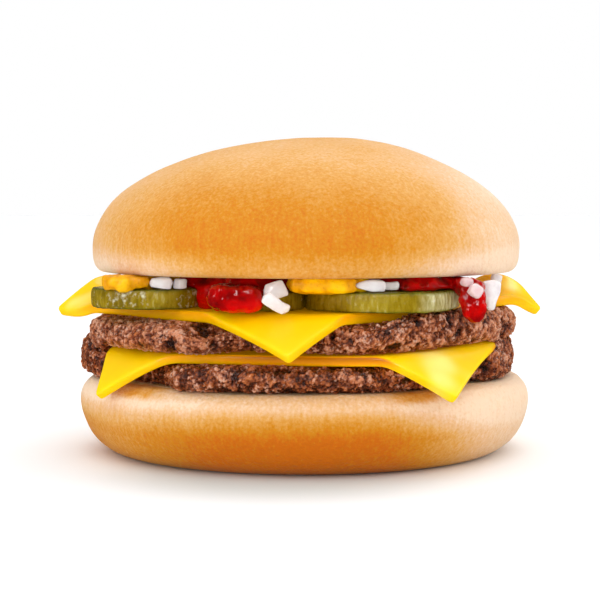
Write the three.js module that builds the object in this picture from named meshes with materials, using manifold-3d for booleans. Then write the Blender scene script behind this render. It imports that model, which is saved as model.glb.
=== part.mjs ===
// A double cheeseburger, stacked as the real one is. From the table up: bottom bun, lower patty, lower cheese
// slice, upper patty, upper cheese slice, pickle chips, ketchup, mustard and diced onion, top bun.
//
// Millimetres, +Z up. The origin is on the table under the middle of the burger. -Y is the front, where a
// corner of the upper slice hangs down, and +X is to its right. Every piece is a solid of its own, and pieces
// that touch in the real burger stand a small gap apart.

import * as THREE from "three";
import { ConvexGeometry } from "three/addons/geometries/ConvexGeometry.js";
import { mergeVertices } from "three/addons/utils/BufferGeometryUtils.js";
import Module from "manifold-3d";

const wasm = await Module();
wasm.setup();

const GAP = 0.3;
const LAYER_GAP = 0.42; // between layers whose faces aren't quite flat
const FULL_TURN = 2 * Math.PI;
const degrees = (angle) => (angle * Math.PI) / 180;

// ---------------------------------------------------------------------------------------------------------
// Driving dimensions
// ---------------------------------------------------------------------------------------------------------

// A roundness is the exponent of a curve: 2 is a quarter ellipse, and more is blunter.
const BUN_BOTTOM = {
  centreX: 1.1,
  radius: 50.7,
  widestAt: 11.8,
  footRadius: 41.5,
  footRoundness: 1.8,
  cutRadius: 46.3,
  height: 17,
};

const BUN_TOP = {
  centreX: 1.4,
  radius: 48.6,
  cutAt: 40.3,
  cutRadius: 45.4,
  rimRoundness: 3,
  widestAt: 46,
  domeHeight: 24.6,
  domeRoundness: 1.94,
  peakShift: 2.4, // how far the very top leans to the right
};

// A patty's faces follow the levels below, and its rim bulges by rimDepth. lean moves its outline along X.
const PATTY_LOWER = { radius: 48.5, lean: -0.5, rimDepth: 4.2, seed: 2 };
const PATTY_UPPER = { radius: 48.6, lean: 0.3, rimDepth: 4, seed: 11 };
const CRAG = 0.75; // how far the crags of a patty's rim stand in or out
const CRAG_SIZE = 4.2;
// Under the bent part of the slice that lies on it, a patty's rim starts to sink FOLD_ROOM inside the fold. It
// sinks PRESS times as fast as the slice bends, up to EDGE_ROOM past the slice's edge.
const FOLD_ROOM = 2;
const PRESS = 2.5;
const EDGE_ROOM = 1.5;
const MOST_PRESSED = 0.42; // the share of its thickness by which a slice may press a patty's rim down

// A slice lies on its patty and bends down at its corners. folds are the distances from the middle at which
// the four corners start to bend, slants move a fold outwards on its counter-clockwise side and inwards on
// the other, and droops are the slopes past the folds. Corners run counter-clockwise from the one at turn.
const CHEESE_LOWER = {
  side: 78.7,
  thickness: 2,
  turn: degrees(-58.9),
  centre: [3.4, -3.8],
  folds: [47.8, 47, 45, 43],
  slants: [-8, 0, 0, -2],
  bendRadius: 3.2,
  droops: [44, 60, 50, 48].map(degrees),
};
const CHEESE_UPPER = {
  side: 78.8,
  thickness: 2.25,
  turn: degrees(-91.9),
  centre: [-0.4, 0],
  folds: [42.5, 47.7, 43, 44.8],
  slants: [10, 0.5, 0, 8.9],
  bendRadius: 4.2,
  droops: [38.5, 38, 48, 24].map(degrees),
};

// Behind their tips, the left and right corners of the upper slice arch up to this level.
const ARCH = { level: 39, fromX: 36.4, toX: 47.7, fromY: -7, toY: 14.3 };

// Heights of the faces that the layers share. The stack rises a little to the right and to the back.
const lowerPattyTop = (x) => 22.1 + 1.3 * smooth(5, 46, x);
const upperPattyBottom = (x) => lowerPattyTop(x) + CHEESE_LOWER.thickness + 2 * LAYER_GAP;
const upperPattyTop = (x, y) => 30.5 + 2 * smooth(28, 48, x) + 1.5 * smooth(6, 34, y);
const toppingFloor = (x, y) => upperPattyTop(x, y) + CHEESE_UPPER.thickness + 2 * LAYER_GAP;
const TOPPING_CEILING = BUN_TOP.cutAt - GAP;

// The two patties swell towards each other where no cheese parts them, and at the front right the upper one
// swells to the shoulder's level. past is where a swelling starts and where it is full, from a slice's edge.
const LIP = { rise: 1.25, past: [4.2, 6.4] };
const SHOULDER = { level: 33.3, fromX: 13, toX: 24, past: [2.4, 5] };

// Pickle chips: where each lies on the upper slice, its radius and its thickness.
const PICKLES = [
  { x: -32.3, y: -21.2, radius: 12.1, thickness: 3.8 },
  { x: -8.8, y: -29.8, radius: 9.8, thickness: 3.6 },
  { x: 17.6, y: -28.9, radius: 16.2, thickness: 3.7 },
  { x: 20.5, y: 24.5, radius: 14.6, thickness: 2.9 },
  { x: -21.5, y: 25.5, radius: 13.2, thickness: 3.5 },
];

// Mustard is squeezed out in one zigzag under the top bun. It swells where it reaches the rim.
const MUSTARD = {
  height: 39,
  halfWidth: 3.8,
  halfThickness: 1.3,
  route: [
    [-36.4, -28.6],
    [-22, -12],
    [-6, -16],
    [5, -34],
    [12, -30],
    [14, -8],
    [4, 14],
    [2, 38],
    [-6, 36],
    [-14, 10],
    [-30, 14],
    [-37.2, 25],
  ],
  swells: [
    { at: [-36.4, -28.6, 39], radii: [5.2, 5.2, 1.9] },
    { at: [6, -39.2, 39], radii: [8.4, 5.4, 1.8] },
    { at: [1.5, 39.5, 39.1], radii: [6.6, 5.2, 1.6] },
    { at: [-37.2, 25, 39], radii: [5.2, 5.2, 1.7] },
  ],
};

// Ketchup fills the space around the pickles and mustard and is pressed out at the rim in some places. At the
// front left it stands there as one thick swell.
const KETCHUP = {
  radius: 34,
  reaches: [
    { azimuth: degrees(-107), width: degrees(8), length: 6.5 },
    { azimuth: degrees(-52), width: degrees(17), length: 12.8 },
    { azimuth: degrees(64), width: degrees(13), length: 11 },
    { azimuth: degrees(122), width: degrees(9), length: 11.5 },
  ],
  swells: [{ at: [-13.2, -41, 36.4], radii: [5.7, 4.5, 2.9] }],
  // The drip that runs down beside the end of the large pickle, from the top.
  drip: [
    { at: [33, -31.5, 38.6], radii: [3.2, 3.2, 1.3] },
    { at: [34.6, -35.6, 38], radii: [3, 2.8, 1.9] },
    { at: [35.5, -37.6, 35.8], radii: [2.5, 1.9, 3] },
    { at: [35.9, -38.2, 33.7], radii: [2.4, 1.7, 2.7] },
  ],
};

const SQUARENESS = 0.55; // of a swell of sauce, which its neighbours press square: 1 is round

const SMALLEST_SAUCE_DETAIL = 0.22;
const SAUCE_GAP = GAP + SMALLEST_SAUCE_DETAIL;

// Diced onion, front pieces first: middle, size and turn about Z, then tilt about Y.
const ONIONS = [
  { at: [-29, -32.6, 38.85], size: [4.2, 3.4, 2.2], turn: 10, tilt: 3 },
  { at: [-25.1, -31.2, 38.7], size: [2.3, 2.3, 2], turn: 40, tilt: 0 },
  { at: [-4.9, -43.6, 37.9], size: [4.6, 2.9, 3.1], turn: 20, tilt: -12 },
  { at: [-4.8, -46.8, 35.2], size: [5.6, 2.2, 2.4], turn: -4, tilt: 36 },
  { at: [14.5, -43.4, 38.8], size: [5.6, 2.9, 2.2], turn: 14, tilt: 5 },
  { at: [18.6, -41.2, 38.7], size: [2.8, 2.2, 1.5], turn: 0, tilt: 0 },
  { at: [40.4, -31.4, 36], size: [3.7, 2.3, 6.2], turn: 40, tilt: 6 },
  { at: [42.6, -20.3, 38.8], size: [2.3, 2.2, 1.8], turn: 15, tilt: 20 },
  { at: [35.9, -39.7, 37.6], size: [2.4, 1.8, 2.1], turn: 20, tilt: 30 },
  { at: [34.2, -38, 39.3], size: [2, 1.8, 1.4], turn: 40, tilt: 3 },
  { at: [28.4, 40.2, 38.4], size: [4, 3.2, 2.1], turn: 35, tilt: 0 },
  { at: [9.6, 42.8, 37.9], size: [4.6, 3, 2.5], turn: -20, tilt: 14 },
  { at: [-7.6, 43.4, 37.9], size: [4, 3, 2.7], turn: 25, tilt: -12 },
  { at: [-33, 36.2, 38.3], size: [4.4, 2.8, 2.1], turn: -35, tilt: 5 },
  { at: [38.2, 28, 38], size: [3.2, 2.8, 2.4], turn: 60, tilt: -10 },
];

// ---------------------------------------------------------------------------------------------------------
// Small functions
// ---------------------------------------------------------------------------------------------------------

// 0 below low, 1 above high, and an S-curve between them.
function smooth(low, high, value) {
  const t = Math.min(1, Math.max(0, (value - low) / (high - low)));
  return t * t * (3 - 2 * t);
}

// A fixed number from 0 to 1 for each corner of a lattice.
function latticeValue(i, j, k) {
  const s = Math.sin(i * 127.1 + j * 311.7 + k * 74.7) * 43758.5453;
  return s - Math.floor(s);
}

// Smooth lumps from -1 to 1, about one unit across.
function lumps(x, y, z) {
  const [i, j, k] = [Math.floor(x), Math.floor(y), Math.floor(z)];
  const [u, v, w] = [smooth(0, 1, x - i), smooth(0, 1, y - j), smooth(0, 1, z - k)];
  let sum = 0;
  for (const a of [0, 1]) {
    for (const b of [0, 1]) {
      for (const c of [0, 1]) {
        const weight = (a ? u : 1 - u) * (b ? v : 1 - v) * (c ? w : 1 - w);
        sum += weight * latticeValue(i + a, j + b, k + c);
      }
    }
  }
  return 2 * sum - 1;
}

// Even steps from a to b, with both ends.
function steps(a, b, count) {
  return Array.from({ length: count + 1 }, (_, i) => a + ((b - a) * i) / count);
}

// One closed surface from rings of points, listed upwards. The first and last rings are single points.
function closedRings(rings) {
  const positions = rings.flat().flatMap((point) => point.toArray());
  const faces = [];
  const columns = rings[1].length;
  const start = (row) => (row === 0 ? 0 : 1 + (row - 1) * columns);
  const topPoint = start(rings.length - 1);
  for (let j = 0; j < columns; j++) {
    const next = (j + 1) % columns;
    faces.push(0, start(1) + next, start(1) + j);
    for (let row = 1; row < rings.length - 2; row++) {
      const [low, high] = [start(row), start(row + 1)];
      faces.push(low + j, low + next, high + next);
      faces.push(low + j, high + next, high + j);
    }
    const last = start(rings.length - 2);
    faces.push(topPoint, last + j, last + next);
  }
  const geometry = new THREE.BufferGeometry();
  geometry.setAttribute("position", new THREE.Float32BufferAttribute(positions, 3));
  geometry.setIndex(faces);
  geometry.computeVertexNormals();
  return geometry;
}

// Turns a profile of [radius, height] points round the axis. shape moves each point by its angle.
function turned(profile, columns, shape) {
  const angles = steps(0, FULL_TURN, columns).slice(0, -1);
  return closedRings(
    profile.map(([radius, height], row) => {
      const onAxis = row === 0 || row === profile.length - 1;
      return (onAxis ? [0] : angles).map((angle) => shape(radius, height, angle, row));
    }),
  );
}

// A quarter of a superellipse from [r0, z0], where it is level, to [r1, z1], where it is upright.
function quarterCurve([r0, z0], [r1, z1], exponent, count) {
  return steps(0, Math.PI / 2, count).map((t) => [
    r0 + (r1 - r0) * Math.sin(t) ** (2 / exponent),
    z1 - (z1 - z0) * Math.cos(t) ** (2 / exponent),
  ]);
}

function solidOf(geometry) {
  const bare = geometry.clone();
  bare.deleteAttribute("normal");
  bare.deleteAttribute("uv");
  const merged = mergeVertices(bare, 1e-4);
  return new wasm.Manifold(
    new wasm.Mesh({
      numProp: 3,
      vertProperties: merged.attributes.position.array,
      triVerts: new Uint32Array(merged.index.array),
    }),
  );
}

function geometryOf(solid) {
  const { vertProperties, triVerts } = solid.getMesh();
  const geometry = new THREE.BufferGeometry();
  geometry.setAttribute("position", new THREE.Float32BufferAttribute(vertProperties, 3));
  geometry.setIndex(new THREE.BufferAttribute(new Uint32Array(triVerts), 1));
  geometry.computeVertexNormals();
  return geometry;
}

// A drop of sauce: an ellipsoid with its radii grown by a margin. A squareness below 1 makes it boxier.
function dropGeometry({ at, radii }, margin = 0, squareness = 1) {
  const geometry = new THREE.SphereGeometry(1, 12, 6).rotateX(Math.PI / 2);
  const points = geometry.getAttribute("position");
  points.array.forEach((c, i) => {
    points.array[i] = Math.sign(c) * Math.abs(c) ** squareness;
  });
  return geometry.scale(...radii.map((radius) => radius + margin)).translate(...at);
}

function pointsOf(geometry) {
  const points = geometry.getAttribute("position");
  return Array.from({ length: points.count }, (_, i) => new THREE.Vector3().fromBufferAttribute(points, i));
}

// ---------------------------------------------------------------------------------------------------------
// The layers
// ---------------------------------------------------------------------------------------------------------

// Slow unevenness of a bun's outline, as a share of its radius.
function bunUnevenness(angle, phase) {
  return 0.004 * Math.sin(2 * angle + phase) + 0.003 * Math.sin(3 * angle - 2 * phase);
}

function bunBottomGeometry() {
  const { centreX, radius, widestAt, footRadius, cutRadius, height, footRoundness } = BUN_BOTTOM;
  const shoulder = quarterCurve([cutRadius, height], [radius, widestAt], 2.1, 6).reverse();
  const profile = [
    [0, 0],
    [footRadius / 2, 0],
    ...quarterCurve([footRadius, 0], [radius, widestAt], footRoundness, 7),
    ...shoulder.slice(1),
    [cutRadius * 0.6, height],
    [0, height],
  ];
  return turned(profile, 46, (r, z, angle) => {
    const reach = r * (1 + bunUnevenness(angle, 1));
    return new THREE.Vector3(centreX + reach * Math.cos(angle), reach * Math.sin(angle), z);
  });
}

function bunTopGeometry() {
  const { centreX, radius, cutAt, cutRadius, rimRoundness, widestAt } = BUN_TOP;
  const { domeHeight, domeRoundness, peakShift } = BUN_TOP;
  const top = widestAt + domeHeight;
  const dome = quarterCurve([0, top], [radius, widestAt], domeRoundness, 11).reverse();
  const profile = [
    [0, cutAt],
    [cutRadius * 0.6, cutAt],
    ...quarterCurve([cutRadius, cutAt], [radius, widestAt], rimRoundness, 5),
    ...dome.slice(1),
  ];
  return turned(profile, 46, (r, z, angle) => {
    const reach = r * (1 + bunUnevenness(angle, 4));
    const lean = peakShift * Math.max(0, (z - widestAt) / domeHeight) ** 6;
    return new THREE.Vector3(centreX + lean + reach * Math.cos(angle), reach * Math.sin(angle), z);
  });
}

// A value in a direction from the middle, blended from a slice's values at its four corners. With slants it
// also grows or shrinks across each corner.
function blended(values, slice, azimuth, slants = [0, 0, 0, 0]) {
  return values.reduce((sum, value, corner) => {
    const off = azimuth - slice.turn - (corner * Math.PI) / 2;
    return sum + (value + slants[corner] * Math.sin(off)) * Math.max(0, Math.cos(off)) ** 2;
  }, 0);
}

// How far a slice has bent down at a distance from the middle of its patty, in one direction.
function bentDown(slice, distance, azimuth) {
  const { bendRadius, folds, slants, droops } = slice;
  const past = distance - blended(folds, slice, azimuth, slants);
  if (past <= 0) return 0;
  const slope = blended(droops, slice, azimuth);
  const arcReach = bendRadius * Math.sin(slope);
  if (past < arcReach) return bendRadius - Math.sqrt(bendRadius ** 2 - past ** 2);
  return bendRadius * (1 - Math.cos(slope)) + (past - arcReach) * Math.tan(slope);
}

// Where a point of the flat slice comes to lie, on its underside. rest is the height of what it lies on.
function draped(slice, u, v, rest) {
  const { bendRadius, folds, slants, droops } = slice;
  const angle = slice.turn - Math.PI / 4;
  const flatX = slice.centre[0] + u * Math.cos(angle) - v * Math.sin(angle);
  const flatY = slice.centre[1] + u * Math.sin(angle) + v * Math.cos(angle);
  const distance = Math.hypot(flatX, flatY);
  const azimuth = Math.atan2(flatY, flatX);
  const fold = blended(folds, slice, azimuth, slants);
  const past = Math.max(0, distance - fold);
  const slope = blended(droops, slice, azimuth);
  const arc = Math.min(past, bendRadius * slope);
  const reach = bendRadius * Math.sin(arc / bendRadius) + (past - arc) * Math.cos(slope);
  const shrink = (Math.min(distance, fold) + reach) / Math.max(distance, 1e-6);
  const [x, y] = [flatX * shrink, flatY * shrink];
  const down = bendRadius * (1 - Math.cos(arc / bendRadius)) + (past - arc) * Math.sin(slope);
  return new THREE.Vector3(x, y, rest(x, y) - down);
}

// How far a point lies past the nearest edge of a slice that lies flat. It is negative under the slice.
function pastEdge({ side, turn, centre }, x, y) {
  const angle = Math.PI / 4 - turn;
  const u = (x - centre[0]) * Math.cos(angle) - (y - centre[1]) * Math.sin(angle);
  const v = (x - centre[0]) * Math.sin(angle) + (y - centre[1]) * Math.cos(angle);
  return Math.max(Math.abs(u), Math.abs(v)) - side / 2;
}

// How far a slice presses the rim of its patty down at a distance from the middle, in one direction.
function pressed(slice, distance, azimuth) {
  const past = (r) => pastEdge(slice, r * Math.cos(azimuth), r * Math.sin(azimuth));
  let reach = distance + FOLD_ROOM;
  while (past(reach) > EDGE_ROOM) reach -= 0.2;
  return PRESS * bentDown(slice, reach, azimuth) * (1 - smooth(...LIP.past, past(distance)));
}

// A slice of cheese: two faces split alike, thickness apart, closed round the edge. Its cells are smaller
// towards the edges, where it bends.
function sliceGeometry(slice, rest) {
  const cells = 14;
  const along = steps(-1, 1, cells).map((t) => (slice.side / 2) * (1.35 * t - 0.35 * t ** 3));
  const delta = 0.05;
  const under = [];
  const over = [];
  for (const v of along) {
    for (const u of along) {
      const point = draped(slice, u, v, rest);
      const alongU = draped(slice, u + delta, v, rest).sub(point);
      const alongV = draped(slice, u, v + delta, rest).sub(point);
      const normal = alongU.cross(alongV).normalize();
      under.push(point);
      over.push(point.clone().addScaledVector(normal, slice.thickness));
    }
  }
  const width = cells + 1;
  const faces = [];
  const overStart = under.length;
  for (let row = 0; row < cells; row++) {
    for (let column = 0; column < cells; column++) {
      const a = row * width + column;
      const [b, c, d] = [a + 1, a + width + 1, a + width];
      // The diagonal runs across the way to the nearest corner, along the fold there.
      const sameSide = row < cells / 2 === column < cells / 2;
      const split = sameSide ? [[a, b, d], [b, c, d]] : [[a, b, c], [a, c, d]];
      for (const [p, q, r] of split) {
        faces.push(overStart + p, overStart + q, overStart + r, p, r, q);
      }
    }
  }
  const wall = (p, q) => faces.push(p, q, overStart + q, p, overStart + q, overStart + p);
  for (let i = 0; i < cells; i++) {
    wall(i, i + 1);
    wall(i * width + cells, (i + 1) * width + cells);
    wall(cells * width + i + 1, cells * width + i);
    wall((i + 1) * width, i * width);
  }
  const geometry = new THREE.BufferGeometry();
  geometry.setFromPoints([...under, ...over]);
  geometry.setIndex(faces);
  geometry.computeVertexNormals();
  return geometry;
}

const lowerSliceRest = (x) => lowerPattyTop(x) + LAYER_GAP;

function upperSliceRest(x, y) {
  const arch = smooth(ARCH.fromX, ARCH.toX, Math.abs(x)) * smooth(ARCH.fromY, ARCH.toY, y);
  const flat = upperPattyTop(x, y) + LAYER_GAP;
  return flat + (ARCH.level - flat) * arch;
}

// How far each patty swells towards the other, past the edge of the slice between them.
const lip = (x, y) => LIP.rise * smooth(...LIP.past, pastEdge(CHEESE_LOWER, x, y));

// How far the upper patty swells at the front right, where its slice ends short of the rim.
function shoulder(x, y) {
  if (y > 0) return 0;
  const beside = smooth(...SHOULDER.past, pastEdge(CHEESE_UPPER, x, y));
  return beside * smooth(SHOULDER.fromX, SHOULDER.toX, x) * (SHOULDER.level - upperPattyTop(x, y));
}

// A patty of ground beef. bottomAt and topAt are its face heights, and slice is the cheese that lies on it,
// which its rim stays under.
function pattyGeometry({ radius, lean, rimDepth, seed }, bottomAt, topAt, slice) {
  const columns = 50;
  const rimRows = 6;
  const angles = steps(0, FULL_TURN, columns).slice(0, -1);
  const most = MOST_PRESSED * (topAt(0, 0) - bottomAt(0, 0));
  const outline = (angle) => {
    const lump = 0.7 * lumps(2 * Math.cos(angle), 2 * Math.sin(angle), seed);
    let reach = radius + lean * Math.cos(angle) + lump;
    while (pressed(slice, reach, angle) > most) reach -= 0.1;
    return reach;
  };
  const place = (r, angle, height) => {
    const [x, y] = [r * Math.cos(angle), r * Math.sin(angle)];
    const [low, high] = [bottomAt(x, y), topAt(x, y)];
    return new THREE.Vector3(x, y, Math.min(low + (high - low) * height, high - pressed(slice, r, angle)));
  };
  const face = (share, height) => angles.map((a) => place((outline(a) - rimDepth) * share, a, height));
  const rim = steps(-Math.PI / 2, Math.PI / 2, rimRows).map((tilt, row) =>
    angles.map((a) => {
      const onFace = row === 0 || row === rimRows;
      const flat = outline(a) - rimDepth + rimDepth * Math.cos(tilt) ** 0.55;
      const spot = [flat * Math.cos(a), flat * Math.sin(a), 8 * Math.sin(tilt)].map((c) => c / CRAG_SIZE);
      const crag = onFace ? 0 : CRAG * lumps(spot[0] + seed, spot[1], spot[2]);
      return place(flat + crag, a, (1 + Math.sin(tilt)) / 2);
    }),
  );
  const bottomMiddle = [new THREE.Vector3(0, 0, bottomAt(0, 0))];
  const topMiddle = [new THREE.Vector3(0, 0, topAt(0, 0))];
  const bottomFace = [bottomMiddle, face(0.82, 0), face(0.9, 0)];
  const topFace = [face(0.95, 1), face(0.85, 1), face(0.66, 1), face(0.35, 1), topMiddle];
  return closedRings([...bottomFace, ...rim, ...topFace]);
}

// ---------------------------------------------------------------------------------------------------------
// The toppings
// ---------------------------------------------------------------------------------------------------------

// A pickle chip that follows the slice under it, with rounded edges and a slightly wavy skin.
function pickleGeometry({ x, y, radius, thickness }, margin = 0) {
  const edge = 0.8;
  const [reach, height] = [radius + margin, thickness + 2 * margin];
  const profile = [
    [0, 0],
    [reach - edge, 0],
    [reach - 0.15, edge],
    [reach, height / 2],
    [reach - 0.15, height - edge],
    [reach - edge, height],
    [0, height],
  ];
  return turned(profile, 24, (r, z, angle) => {
    const wavy = r * (1 + 0.018 * Math.sin(3 * angle + x) + 0.01 * Math.sin(7 * angle + y));
    const [px, py] = [x + wavy * Math.cos(angle), y + wavy * Math.sin(angle)];
    return new THREE.Vector3(px, py, toppingFloor(px, py) - margin + z);
  });
}

// A diced piece of onion: a box with softened corners, no two alike.
function onionGeometry({ at, size, turn, tilt }, index, margin = 0) {
  const geometry = new THREE.BoxGeometry(1, 1, 1, 2, 2, 2);
  const points = geometry.getAttribute("position");
  const point = new THREE.Vector3();
  for (let i = 0; i < points.count; i++) {
    point.fromBufferAttribute(points, i);
    const jitter = 1 + 0.16 * lumps(3 * point.x + index, 3 * point.y, 3 * point.z);
    const round = 1 - 0.42 * Math.max(0, point.length() - 0.5);
    point.multiplyScalar(round * jitter);
    points.setXYZ(i, ...point);
  }
  geometry.scale(...size.map((length) => length + 2 * margin));
  geometry.rotateY(degrees(tilt)).rotateZ(degrees(turn)).translate(...at);
  return geometryOf(solidOf(geometry));
}

// A line of sauce, of flattened drops joined one to the next, and pressed flat under the top bun.
function mustardSolid(margin = 0) {
  const { height, halfWidth, halfThickness, route, swells } = MUSTARD;
  const path = new THREE.CatmullRomCurve3(route.map(([x, y]) => new THREE.Vector3(x, y, height)));
  const radii = [halfWidth, halfWidth, halfThickness];
  const drops = path
    .getSpacedPoints(18)
    .map((point) => pointsOf(dropGeometry({ at: point.toArray(), radii }, margin)));
  const line = drops.slice(1).map((drop, i) => new ConvexGeometry([...drops[i], ...drop]));
  const ends = swells.map((swell) => dropGeometry(swell, margin, SQUARENESS));
  const whole = wasm.Manifold.union([...line, ...ends].map(solidOf));
  return whole.trimByPlane([0, 0, -1], -TOPPING_CEILING - margin);
}

function ketchupSolid() {
  const { radius, reaches, swells, drip } = KETCHUP;
  const outline = (angle) =>
    reaches.reduce((sum, { azimuth, width, length }) => {
      const off = Math.atan2(Math.sin(angle - azimuth), Math.cos(angle - azimuth));
      return sum + length * Math.exp(-((off / width) ** 6));
    }, radius + Math.sin(5 * angle));
  const profile = [
    [0, 0],
    [0.5, 0],
    [0.96, 0],
    [1, 0.3],
    [1, 0.7],
    [0.96, 1],
    [0.5, 1],
    [0, 1],
  ];
  const pool = turned(profile, 52, (share, level, angle) => {
    const reach = share * outline(angle);
    const [x, y] = [reach * Math.cos(angle), reach * Math.sin(angle)];
    const floor = toppingFloor(x, y);
    return new THREE.Vector3(x, y, floor + (TOPPING_CEILING - floor) * level);
  });
  const pressed = swells.map((swell) => dropGeometry(swell, 0, SQUARENESS));
  return wasm.Manifold.union([pool, ...pressed, ...drip.map((drop) => dropGeometry(drop))].map(solidOf));
}

// Cuts room for each neighbour out of a sauce, and keeps the part that holds together.
function fitted(sauce, neighbours) {
  const cut = neighbours.reduce((rest, neighbour) => rest.subtract(neighbour), sauce);
  const bodies = cut.simplify(SMALLEST_SAUCE_DETAIL).decompose();
  return bodies.reduce((largest, body) => (body.volume() > largest.volume() ? body : largest));
}

// ---------------------------------------------------------------------------------------------------------
// The burger
// ---------------------------------------------------------------------------------------------------------

const MATERIALS = {
  bun: new THREE.MeshStandardMaterial({ color: 0xe0a050, roughness: 0.75, metalness: 0 }),
  beef: new THREE.MeshStandardMaterial({ color: 0x5a3022, roughness: 0.5, metalness: 0 }),
  cheese: new THREE.MeshStandardMaterial({ color: 0xffc800, roughness: 0.35, metalness: 0 }),
  pickle: new THREE.MeshStandardMaterial({ color: 0x7d8a1e, roughness: 0.25, metalness: 0 }),
  ketchup: new THREE.MeshStandardMaterial({ color: 0xb00808, roughness: 0.15, metalness: 0 }),
  mustard: new THREE.MeshStandardMaterial({ color: 0xeab000, roughness: 0.3, metalness: 0 }),
  onion: new THREE.MeshStandardMaterial({ color: 0xe8e0dc, roughness: 0.2, metalness: 0 }),
};

const burger = new THREE.Group();

function addPiece(name, geometry, material) {
  const mesh = new THREE.Mesh(geometry, material);
  mesh.name = name;
  burger.add(mesh);
}

addPiece("bun_bottom", bunBottomGeometry(), MATERIALS.bun);
addPiece(
  "patty_lower",
  pattyGeometry(
    PATTY_LOWER,
    () => BUN_BOTTOM.height + GAP,
    (x, y) => lowerPattyTop(x) + lip(x, y),
    CHEESE_LOWER,
  ),
  MATERIALS.beef,
);
addPiece("cheese_lower", sliceGeometry(CHEESE_LOWER, lowerSliceRest), MATERIALS.cheese);
addPiece(
  "patty_upper",
  pattyGeometry(
    PATTY_UPPER,
    (x, y) => upperPattyBottom(x) - lip(x, y),
    (x, y) => upperPattyTop(x, y) + shoulder(x, y),
    CHEESE_UPPER,
  ),
  MATERIALS.beef,
);
addPiece("cheese_upper", sliceGeometry(CHEESE_UPPER, upperSliceRest), MATERIALS.cheese);
PICKLES.forEach((pickle, i) => addPiece(`pickle_${i + 1}`, pickleGeometry(pickle), MATERIALS.pickle));
ONIONS.forEach((onion, i) => addPiece(`onion_${i + 1}`, onionGeometry(onion, i), MATERIALS.onion));

const sauceNeighbours = [
  ...PICKLES.map((pickle) => pickleGeometry(pickle, SAUCE_GAP)),
  ...ONIONS.map((onion, i) => onionGeometry(onion, i, SAUCE_GAP)),
].map(solidOf);
const mustard = fitted(mustardSolid(), sauceNeighbours);
const ketchup = fitted(ketchupSolid(), [...sauceNeighbours, mustardSolid(SAUCE_GAP)]);
addPiece("mustard", geometryOf(mustard), MATERIALS.mustard);
addPiece("ketchup", geometryOf(ketchup), MATERIALS.ketchup);
addPiece("bun_top", bunTopGeometry(), MATERIALS.bun);

export default burger;
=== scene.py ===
"""How the double cheeseburger looks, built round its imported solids.

Shapes are worked out in millimetres, in the frame of the solids: +Z up, the origin on the table under the
middle of the burger, and -Y the front. Meshes, lamps and the camera are in metres. Every visible piece
replaces one node.
"""

from itertools import product

import bmesh
import bpy
import numpy as np
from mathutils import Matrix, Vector
from mathutils.bvhtree import BVHTree


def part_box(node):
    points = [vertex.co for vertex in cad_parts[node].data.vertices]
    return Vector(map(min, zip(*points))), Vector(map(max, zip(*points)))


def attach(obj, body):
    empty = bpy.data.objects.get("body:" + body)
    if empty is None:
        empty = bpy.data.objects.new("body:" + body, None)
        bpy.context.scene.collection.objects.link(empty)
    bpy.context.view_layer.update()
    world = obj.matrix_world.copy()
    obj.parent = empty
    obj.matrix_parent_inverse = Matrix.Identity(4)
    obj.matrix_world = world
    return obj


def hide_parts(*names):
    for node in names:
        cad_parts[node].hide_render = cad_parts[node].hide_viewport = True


MM = 0.001
FULL_TURN = 2 * np.pi

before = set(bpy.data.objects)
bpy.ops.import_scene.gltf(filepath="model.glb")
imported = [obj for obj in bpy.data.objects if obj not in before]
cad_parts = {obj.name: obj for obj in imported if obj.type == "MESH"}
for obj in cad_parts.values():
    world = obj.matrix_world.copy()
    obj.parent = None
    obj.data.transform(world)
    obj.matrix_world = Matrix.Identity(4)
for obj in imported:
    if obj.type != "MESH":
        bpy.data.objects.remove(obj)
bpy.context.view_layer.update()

# --------------------------------------------------------------------------------------------------------
# Driving dimensions, the same as the solids have
# --------------------------------------------------------------------------------------------------------

BUN_BOTTOM = {
    "centre_x": 1.1,
    "radius": 50.7,
    "widest_at": 11.8,
    "foot_radius": 41.5,
    "cut_radius": 46.3,
    "phase": 1,
}
BUN_TOP = {
    "centre_x": 1.4,
    "radius": 48.6,
    "widest_at": 46.0,
    "cut_radius": 45.4,
    "peak_shift": 2.4,
    "phase": 4,
}

LAYER_GAP = 0.42
CHEESE_LOWER = {
    "side": 78.7,
    "thickness": 2.0,
    "turn": np.radians(-58.9),
    "centre": (3.4, -3.8),
    "folds": (47.8, 47, 45, 43),
    "slants": (-8, 0, 0, -2),
    "bend_radius": 3.2,
    "droops": np.radians((44, 60, 50, 48)),
    # a spot where a highlight is painted
    "highlight_at": ((27.6, -43, 21.6),),
    # the painted shade of the flat edges, 0.5 for orange and 1 for brown
    "edge_shade_tone": (0.55, 1.0),  # at the left and at the right
    "slip": 2.6,  # how far the middle of the right side is pulled out
    "tip": 0.7,  # how much longer the front left corner is
}
CHEESE_UPPER = {
    "side": 78.8,
    "thickness": 2.25,
    "turn": np.radians(-91.9),
    "centre": (-0.4, 0),
    "folds": (42.5, 47.7, 43, 44.8),
    "slants": (10, 0.5, 0, 8.9),
    "bend_radius": 4.2,
    "droops": np.radians((38.5, 38, 48, 24)),
    # spots where highlights are painted
    "highlight_at": ((-52, -4, 38), (49, -2, 41)),
    "edge_shade_tone": (0.5, 0.5),
    "slip": 0.0,
    "tip": 0.0,
}
ARCH = {"level": 39, "from_x": 36.4, "to_x": 47.7, "from_y": -7, "to_y": 14.3}


# --------------------------------------------------------------------------------------------------------
# Small functions
# --------------------------------------------------------------------------------------------------------


def smooth(low, high, value):
    """0 below low, 1 above high, and an S-curve between them."""
    t = np.clip((value - low) / (high - low), 0, 1)
    return t * t * (3 - 2 * t)


def lattice_value(i, j, k):
    """A fixed number from 0 to 1 for each corner of a lattice."""
    s = np.sin(i * 127.1 + j * 311.7 + k * 74.7) * 43758.5453
    return s - np.floor(s)


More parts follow.
